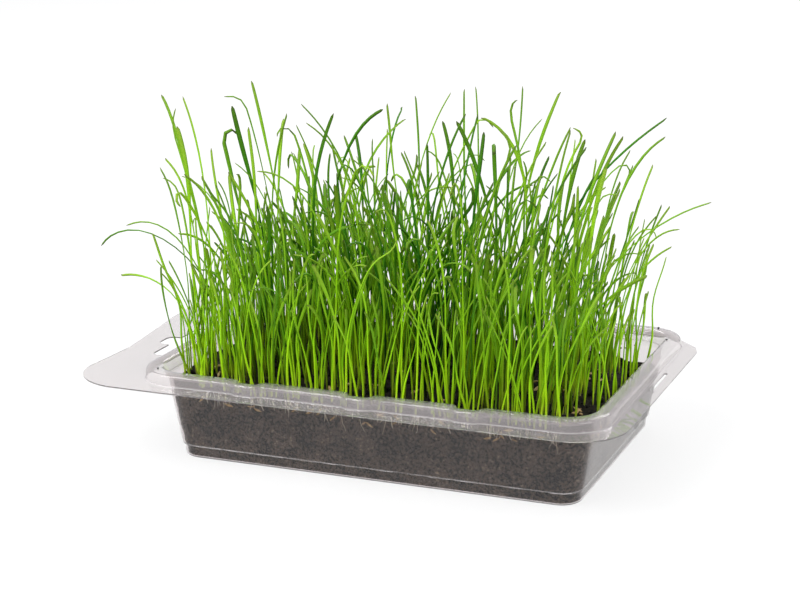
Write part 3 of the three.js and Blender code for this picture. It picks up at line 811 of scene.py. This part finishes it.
def root_piece():
    """Root threads that wander down the inside of the clear walls, and thicker ones by the seeds."""
    draw = seeded_random(1999)
    curve = bpy.data.curves.new("root_threads", "CURVE")
    curve.dimensions = "3D"
    curve.bevel_depth = THREAD_RADIUS * MM
    curve.bevel_resolution = 1
    curve.use_fill_caps = True
    for side, count, reach, longest, weight in THREADS:
        for _ in range(count):
            along = (draw() * 2 - 1) * reach
            z = 30.2 - 3.4 * draw() if weight > 1 else 30.0 - 6 * draw() ** 2
            steps = 4 if weight > 1 else 7
            drift = (draw() - 0.5) * 0.5
            step = longest * (0.35 + 0.65 * draw()) / steps
            spline = curve.splines.new("POLY")
            spline.points.add(steps)
            for i in range(steps + 1):
                place = wall_point(side, along, z, 0.2 + 0.1 * (weight - 1)) * MM
                spline.points[i].co = (*place, 1)
                spline.points[i].radius = weight * (1 - 0.65 * i / steps)
                drift += (draw() - 0.5) * 0.5
                along = min(max(along + drift * step, -reach), reach)
                z = max(z - step * max(0.5, 1 - abs(drift)), 6.6)
    thing = bpy.data.objects.new("root_threads", curve)
    bpy.context.scene.collection.objects.link(thing)
    activate(thing)
    bpy.ops.object.convert(target="MESH")
    piece = bpy.context.view_layer.objects.active
    piece.name = piece.data.name = "root_threads"
    bpy.ops.object.shade_smooth()
    piece.data.materials.append(white_root)
    return piece


root_threads = root_piece()


# The grass

def row_reach(row):
    return OUTER_ROW_REACH if row in (0, ROW_COUNT - 1) else ROW_REACH


def row_y(row, x):
    return (row - (ROW_COUNT - 1) / 2) * ROW_SPACING + 0.7 * math.sin(x * 0.05 + 0.6)


def row_point(row, x):
    """Where a row of grass is rooted at x."""
    reach = row_reach(row)
    at = (x / reach + 1) * (ROW_STATIONS - 1) / 2
    first = min(max(math.floor(at), 0), ROW_STATIONS - 2)
    ends = []
    for i in (first, first + 1):
        stop = reach * (2 * i / (ROW_STATIONS - 1) - 1)
        ends.append(np.array((stop, row_y(row, stop), float(soil_height(stop, row_y(row, stop))))))
    return ends[0] + (ends[1] - ends[0]) * (at - first)


def blade_line(start, shape, steps):
    """A blade's middle line: straight at first, and bent over more towards the tip."""
    along = (np.arange(steps) + 0.5) / steps
    tilt = shape["lean"] + shape["bend"] * along ** BEND_POWER + shape["curl"] * along ** CURL_POWER
    tilt = tilt + shape.get("hook", 0.0) * smooth(along, 0.88, 1.0)
    turn = shape["heading"] + SWIRL * np.sin(along * 3 + shape["x"])
    ways = np.stack((np.sin(tilt) * np.cos(turn), np.sin(tilt) * np.sin(turn), np.cos(tilt)), axis=1)
    ways *= shape["length"] / steps
    root = np.array(start, dtype=float) - (0, 0, ROOT_DEPTH)
    return np.vstack((root, root + np.cumsum(ways, axis=0)))


def cad_width(along, widest):
    """Width of a CAD blade, which room between blades is reckoned by."""
    rising = STEM_WIDTH + (widest - STEM_WIDTH) * smooth(along, 0.1, 0.55)
    falling = widest + (TIP_WIDTH - widest) * np.maximum((along - 0.55) / 0.45, 0) ** 2.4
    return np.where(along < 0.55, rising, falling)


def needed_room(blade):
    """The widths of a blade's stretches, and two corners of the box that it may touch others in."""
    line = blade["line"]
    steps = len(line) - 1
    widths = cad_width((np.arange(steps) + 0.5) / steps, blade["widest"])
    return widths, line.min(axis=0) - 1.5, line.max(axis=0) + 1.5


class Stand:
    """The blades placed so far, kept as straight stretches so that a new one can be tested for room."""

    # Room for so many stretches
    MOST = 16000

    def __init__(self):
        self.blades = []
        self.starts, self.ways, self.lows, self.highs = (np.zeros((self.MOST, 3)) for _ in range(4))
        self.widths = np.zeros(self.MOST)
        self.count = 0

    def add(self, blade):
        line = blade["line"]
        held = slice(self.count, self.count + len(line) - 1)
        self.blades.append(blade)
        self.starts[held] = line[:-1]
        self.ways[held] = line[1:] - line[:-1]
        self.widths[held], self.lows[held], self.highs[held] = needed_room(blade)
        self.count = held.stop

    def has_room(self, blade, share=1.0):
        """True if no stretch of the blade comes closer to another than a share of what their widths ask."""
        line = blade["line"]
        widths, low, high = needed_room(blade)
        overlap = (self.lows[:self.count] <= high) & (self.highs[:self.count] >= low)
        near = np.flatnonzero(np.all(overlap, axis=1))
        p2, d2, w2 = self.starts[near], self.ways[near], self.widths[near]
        e = np.einsum("ij,ij->i", d2, d2)
        for i in range(len(widths)):
            p1, d1 = line[i], line[i + 1] - line[i]
            r = p1 - p2
            a, b, c = d1 @ d1, d2 @ d1, r @ d1
            f = np.einsum("ij,ij->i", d2, r)
            spread = a * e - b * b
            s = np.where(spread > 1e-9, np.clip((b * f - c * e) / np.maximum(spread, 1e-12), 0, 1), 0)
            t = np.clip((b * s + f) / e, 0, 1)
            s = np.clip((b * t - c) / a, 0, 1)
            gap = np.linalg.norm(p1 + s[:, None] * d1 - p2 - t[:, None] * d2, axis=1)
            if (gap < ((widths[i] + w2) / 2 + BLADE_GAP) * share).any():
                return False
        return True


def within_overhang(line):
    return bool((line[:, 0] > OVERHANG["left"]).all() and (line[:, 0] < OVERHANG["right"]).all()
                and (line[:, 1] > OVERHANG["front"]).all() and (line[:, 1] < OVERHANG["back"]).all())


def clear_of_tray(line):
    inside_x, inside_y = RIM_LENGTH / 2 - RIM_FLAT - 2, RIM_WIDTH / 2 - RIM_FLAT - 2
    for share in (0.25, 0.5, 0.75, 1):
        at = line[:-1] + (line[1:] - line[:-1]) * share
        low = at[:, 2] <= RIM_TOP + 2
        if (low & ((abs(at[:, 0]) >= inside_x) | (abs(at[:, 1]) >= inside_y))).any():
            return False
    return True


def shared_heading(x, y):
    return math.atan2(y * 0.8 + 6 * math.sin(x * 0.06), x + 14 * math.sin(y * 0.13))


# Row, place along it, length, lean, heading, bend, curl and twist of the blades that stand out of the crowd
ARCHING_BLADES = (
    (6, -76, 87, 0.22, 3.2, 1.25, 1.1, 0.5), (2, -78, 59, 0.12, 3.3, 1.6, 0.15, 0.5),
    (2, -74, 116, 0.0, 3.02, 0.17, 0.8, 1.2), (3, -74, 112, 0.01, 3.0, 0.06, 0.5, 1.2),
    (1, -75, 101, 0.0, 2.9, 0.1, 0.2, 1.0), (1, -79, 86, 0.0, 3.1, 0.1, 0.7, 1.1),
    (3, -79, 89, 0.02, 3.1, 0.1, 0.9, 0.9), (0, -75, 49, 0.38, 3.2, -0.42, 0.0, 0.8),
    (5, -51, 108, 0.1, 3.2, 0.12, 0.0, 1.2), (9, -66, 101, 0.0, 0.2, 0.15, 0.2, 1.1),
    (8, -42, 114, 0.06, 0.1, 0.33, 0.7, 1.0), (9, -34, 107, 0.08, 0.1, 0.3, 0.55, -1.0),
    (7, -13, 114, 0.04, 3.1, 0.42, 0.4, 1.2), (12, 10, 97, 0.03, 3.1, 0.1, 0.1, -1.1),
    (11, 36, 102, 0.12, 3.1, 0.32, 0.1, 1.1), (8, 43, 111, 0.03, 0.2, 0.12, -1.3, 0.9),
    (10, 42, 122, 0.14, 0.1, 0.95, -0.1, 0.8), (11, 57, 100, 0.05, 0.0, 0.3, 0.3, -1.1),
    (6, 72, 90, 0.03, 0.2, 0.2, 0.0, 1.2), (7, 56, 101, 0.32, 0.1, 1.0, 0.0, 0.6),
    (11, 77, 76, 0.03, 0.0, 0.6, 0.9, 0.5), (12, 74, 62, 0.1, 0.0, 0.6, 0.4, 0.5),
    (4, 64, 66, 0.3, 0.1, 0.75, 0.1, 0.6),
)
ARCHING_WIDEST = 2.1


def draft_blade(row, start, shape, steps):
    return {"row": row, "start": start, "shape": shape, "line": blade_line(start, shape, steps),
            "widest": shape["widest"], "facing": shape["heading"] + math.pi / 2 + shape["twist"]}


def cad_stand():
    """The same blades as the CAD rows hold, from the same rule and the same draws."""
    draw = seeded_random(20417)

    def between(limits):
        return limits[0] + (limits[1] - limits[0]) * draw()

    def random_blade(row, place, strict):
        reach = row_reach(row)
        x = min(max(place + between((-PLACE_JITTER, PLACE_JITTER)), 1 - reach), reach - 1)
        tall = draw()
        shape = {"x": x, "length": (SHORTEST + (LONGEST - SHORTEST) * tall ** SHORT_BIAS)}
        shape["length"] *= 1 - CALMING["length"] * strict
        shape["lean"] = between(LEAN_RANGE)
        turn = between(TURN_RANGE) * (1 - CALMING["turn"] * strict)
        shape["heading"] = shared_heading(x, row_y(row, x)) + turn
        shape["bend"] = between(BEND_RANGE) * (1 - CALMING["bend"] * strict)
        shape["curl"] = between(STRONG_CURL) if draw() < STRONG_CURL_SHARE else between(SLIGHT_CURL)
        shape["widest"] = between(WIDEST_RANGE)
        shape["twist"] = between(TWIST_RANGE)
        bowed = shape["curl"] > 0.5 or shape["bend"] > 0.3
        return draft_blade(row, row_point(row, x), shape, 4 if bowed else 3)

    stand = Stand()
    for row, x, length, lean, heading, bend, curl, twist in ARCHING_BLADES:
        shape = {"x": x, "length": length, "lean": lean, "heading": heading, "bend": bend, "curl": curl,
                 "widest": ARCHING_WIDEST, "twist": twist}
        stand.add(draft_blade(row, row_point(row, x), shape, 6))
    for row in range(ROW_COUNT):
        for i in range(BLADES_IN_ROW):
            place = (row_reach(row) - END_MARGIN) * ((2 * i + 1) / BLADES_IN_ROW - 1)
            if cornerward(place, row_y(row, place)) > CORNER_THIN and draw() < THINNED_SHARE:
                continue
            for attempt in range(TRIES_PER_BLADE):
                made = random_blade(row, place, attempt / TRIES_PER_BLADE)
                if within_overhang(made["line"]) and clear_of_tray(made["line"]) and stand.has_room(made):
                    stand.add(made)
                    break
    return stand


FINER_BLADES = 400
WALL_BLADES = {"front": 74, "back": 34, "left": 24, "right": 16}
WALL_REACH = {"front": 72, "back": 72, "left": 42, "right": 42}
SHOOTS = 60
# Only blades longer than this curl over or end in a hook
HOOKED_LENGTH = 72.0
# From this far cornerward the soil lies so low that stems at the wall have to start lower
SUNK_FROM = 0.9
# Towards that corner fewer grow: from how far, and the share left out, at the wall and in the open
WALL_THINNING = (1.25, 0.65)
OPEN_THINNING = ((1.2, 0.97), (0.85, 0.5))


def add_finer_blades(stand):
    """More and thinner blades between the CAD's, as many as the real tray has, and short new shoots."""
    draw = seeded_random(777)

    def between(low, high):
        return low + (high - low) * draw()

    def finer_blade(x, y, start_z, shoot):
        row = min(max(round(y / ROW_SPACING + (ROW_COUNT - 1) / 2), 0), ROW_COUNT - 1)
        to_end = 1 - 0.16 * abs(x / SOIL_HALF_X) ** 3
        shape = {"x": x, "length": between(9, 30) if shoot else (44 + 40 * draw() ** 1.8) * to_end}
        shape["lean"] = between(0, 0.24)
        shape["heading"] = shared_heading(x, y) + between(-2.6, 2.6)
        shape["bend"] = between(0.0, 0.55)
        curled = shape["length"] > HOOKED_LENGTH and draw() < 0.5
        shape["curl"] = between(0.6, 2.0) if curled else between(0, 0.4)
        shape["widest"] = 1.2 if shoot else between(1.3, 1.9)
        shape["twist"] = between(-1.5, 1.5)
        made = draft_blade(row, (x, y, start_z), shape, 5)
        made["shoot"] = shoot
        fits = within_overhang(made["line"]) and clear_of_tray(made["line"]) and stand.has_room(made, 0.35)
        return made if fits else None

    # Some plants stand right against the clear walls, with their pale feet in sight
    for side, count in WALL_BLADES.items():
        placed = 0
        while placed < count:
            foot = wall_point(side, between(-WALL_REACH[side], WALL_REACH[side]), 29.0, 1.2)
            if cornerward(foot.x, foot.y) > WALL_THINNING[0] and draw() < WALL_THINNING[1]:
                continue
            start_z = between(27.5, 30.5)
            if cornerward(foot.x, foot.y) > SUNK_FROM:
                surface = float(soil_height(foot.x, foot.y)) + lumps(foot.x, foot.y)
                start_z = min(start_z, surface - 1.0)
            made = finer_blade(foot.x, foot.y, start_z, False)
            if made:
                stand.add(made)
                placed += 1
    placed = 0
    while placed < FINER_BLADES + SHOOTS:
        x, y = between(-81.5, 81.5), between(-51.8, 51.8)
        thinned = next((share for start, share in OPEN_THINNING if cornerward(x, y) > start), 0.0)
        if not inside_soil(x, y, 1.6) or draw() < thinned:
            continue
        made = finer_blade(x, y, float(soil_height(x, y)) + lumps(x, y), placed >= FINER_BLADES)
        if made:
            stand.add(made)
            placed += 1
    return stand


LEAF_SIDES = 4
LEAF_RINGS = 16


def leaf_blank():
    """One plain leaf, a unit tall: a closed tube cut across into rings, to be carried along a line."""
    bpy.ops.mesh.primitive_cylinder_add(vertices=LEAF_SIDES, radius=1, depth=1, end_fill_type="TRIFAN",
                                        location=(0, 0, 0.5))
    blank = bpy.context.active_object
    bpy.ops.object.transform_apply()
    bpy.ops.object.mode_set(mode="EDIT")
    for i in range(1, LEAF_RINGS):
        bpy.ops.mesh.select_all(action="SELECT")
        # The rings lie closer together towards the tip, which is where a leaf curls
        bpy.ops.mesh.bisect(plane_co=(0, 0, 1 - (1 - i / LEAF_RINGS) ** 1.6), plane_no=(0, 0, 1))
    bpy.ops.object.mode_set(mode="OBJECT")
    bpy.ops.object.shade_smooth()
    points = coordinates(blank.data)
    for name, values in (("along", points[:, 2]), ("across", points[:, 0]), ("tone_and_shade", points[:, 2] * 0)):
        layer = blank.data.attributes.new(name, "FLOAT", "POINT")
        layer.data.foreach_set("value", values.astype(np.float32))
    blank.data.materials.append(young_leaf)
    return blank, points


FINE_STEPS = 48


def pressed_in(points, root):
    """Draws a leaf in towards its root just enough to stay inside the CAD model's box."""
    for axis in range(3):
        reach = points[:, axis] - root[axis]
        for limit, farthest in ((box_low[axis], reach.min()), (box_high[axis], reach.max())):
            room = limit - root[axis]
            if abs(farthest) > abs(room):
                reach *= room / farthest
        points[:, axis] = root[axis] + reach
    return points


def leaf_points(plain, made, draw):
    """Carries the plain leaf along a blade's line: a round sheath below, a thin folded blade above."""
    along, u, h = plain[:, 2], plain[:, 0], plain[:, 1]
    hook = (0.6 + 1.9 * draw()) * (1 if draw() < 0.6 else -1) if draw() < 0.3 else 0.0
    if made["shape"]["length"] < HOOKED_LENGTH or made["widest"] == ARCHING_WIDEST:
        hook = 0.0
    line = blade_line(made["start"], {**made["shape"], "hook": hook}, FINE_STEPS)
    stops = np.linspace(0, 1, FINE_STEPS + 1)

    def at(share):
        return np.stack([np.interp(share, stops, line[:, k]) for k in range(3)], axis=1)

    centre = at(along)
    ahead = at(np.minimum(along + 0.02, 1)) - at(np.maximum(along - 0.02, 0))
    ahead /= np.linalg.norm(ahead, axis=1)[:, None]
    facing = made["facing"] + (draw() - 0.5) * 3.0 * along
    across = np.stack((np.cos(facing), np.sin(facing), 0 * along), axis=1)
    side = across - ahead * np.einsum("ij,ij->i", across, ahead)[:, None]
    side /= np.linalg.norm(side, axis=1)[:, None]
    keel = np.cross(ahead, side)
    stem = STEM_WIDTH * (0.62 + 0.26 * draw())
    if made.get("shoot"):
        width = stem * (1 - 0.9 * smooth(along, 0.55, 1.0))
        thick = width
    else:
        # A leaf keeps slim for most of its length and is broadest close to its blunt tip
        leaf = made["widest"] * (0.45 + 0.5 * draw())
        blunt = np.sqrt(np.maximum(1 - np.maximum((along - 0.975) / 0.025, 0) ** 2, 0.04))
        tip = (1 - 0.1 * smooth(along, 0.86, 0.97)) * blunt
        neck = stem * (1 - 0.25 * smooth(along, 0.2, 0.55))
        width = (neck + (leaf - neck) * smooth(along, 0.55, 0.88)) * tip
        thick = np.minimum(0.3 + (stem * 0.85 - 0.3) * (1 - smooth(along, 0.25, 0.6)), width)
    fold = 0.7 * smooth(along, 0.25, 0.6) * width / 2
    sway = (0.5 + 0.9 * draw()) * np.sin(along * (5 + 4 * draw()) + 6 * draw()) * smooth(along, 0.0, 0.5)
    offset = (u * width / 2 + sway)[:, None] * side + (h * thick / 2 - np.abs(u) * fold)[:, None] * keel
    return pressed_in(centre + offset, line[0])


def leaf_tone_and_shade(made, draw):
    """How dark a leaf is, from 0 to 1: painted shade in the middle of the stand, darker in some clumps, and
    darker or paler at random.
    """
    x, y, _ = made["start"]
    # Painted shade: leaves rooted away from the tray's edges are darkened
    shaded = 1 - max(abs(x) / SOIL_HALF_X, abs(y) / SOIL_HALF_Y) ** 3
    clump = noise.noise(Vector((x * 0.045, y * 0.045, 3.0)))
    return min(max(0.02 + 0.56 * shaded + 0.55 * clump + 1.0 * (draw() - 0.42), 0.0), 1.0)


def grass_pieces():
    stand = add_finer_blades(cad_stand())
    blank, plain = leaf_blank()
    draw = seeded_random(31)
    rows = [[] for _ in range(ROW_COUNT)]
    for made in stand.blades:
        copy = bpy.data.objects.new("blade", blank.data.copy())
        bpy.context.scene.collection.objects.link(copy)
        set_coordinates(copy.data, leaf_points(plain, made, draw) * MM)
        tone_and_shade = np.full(len(plain), leaf_tone_and_shade(made, draw), dtype=np.float32)
        copy.data.attributes["tone_and_shade"].data.foreach_set("value", tone_and_shade)
        rows[made["row"]].append(copy)
    bpy.data.objects.remove(blank, do_unlink=True)
    return [joined(f"grass_blades_{row + 1:02d}", copies) for row, copies in enumerate(rows)]


grass_rows = grass_pieces()


# What each piece moves with, and the CAD parts that are hidden

for piece in (clear_tray, soil_block, loose_crumbs, seed_husks, root_threads, *grass_rows):
    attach(piece, "root")
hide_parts("tray")
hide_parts("soil")
for number, piece in enumerate(grass_rows, start=1):
    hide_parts(f"grass_row_{number:02d}")
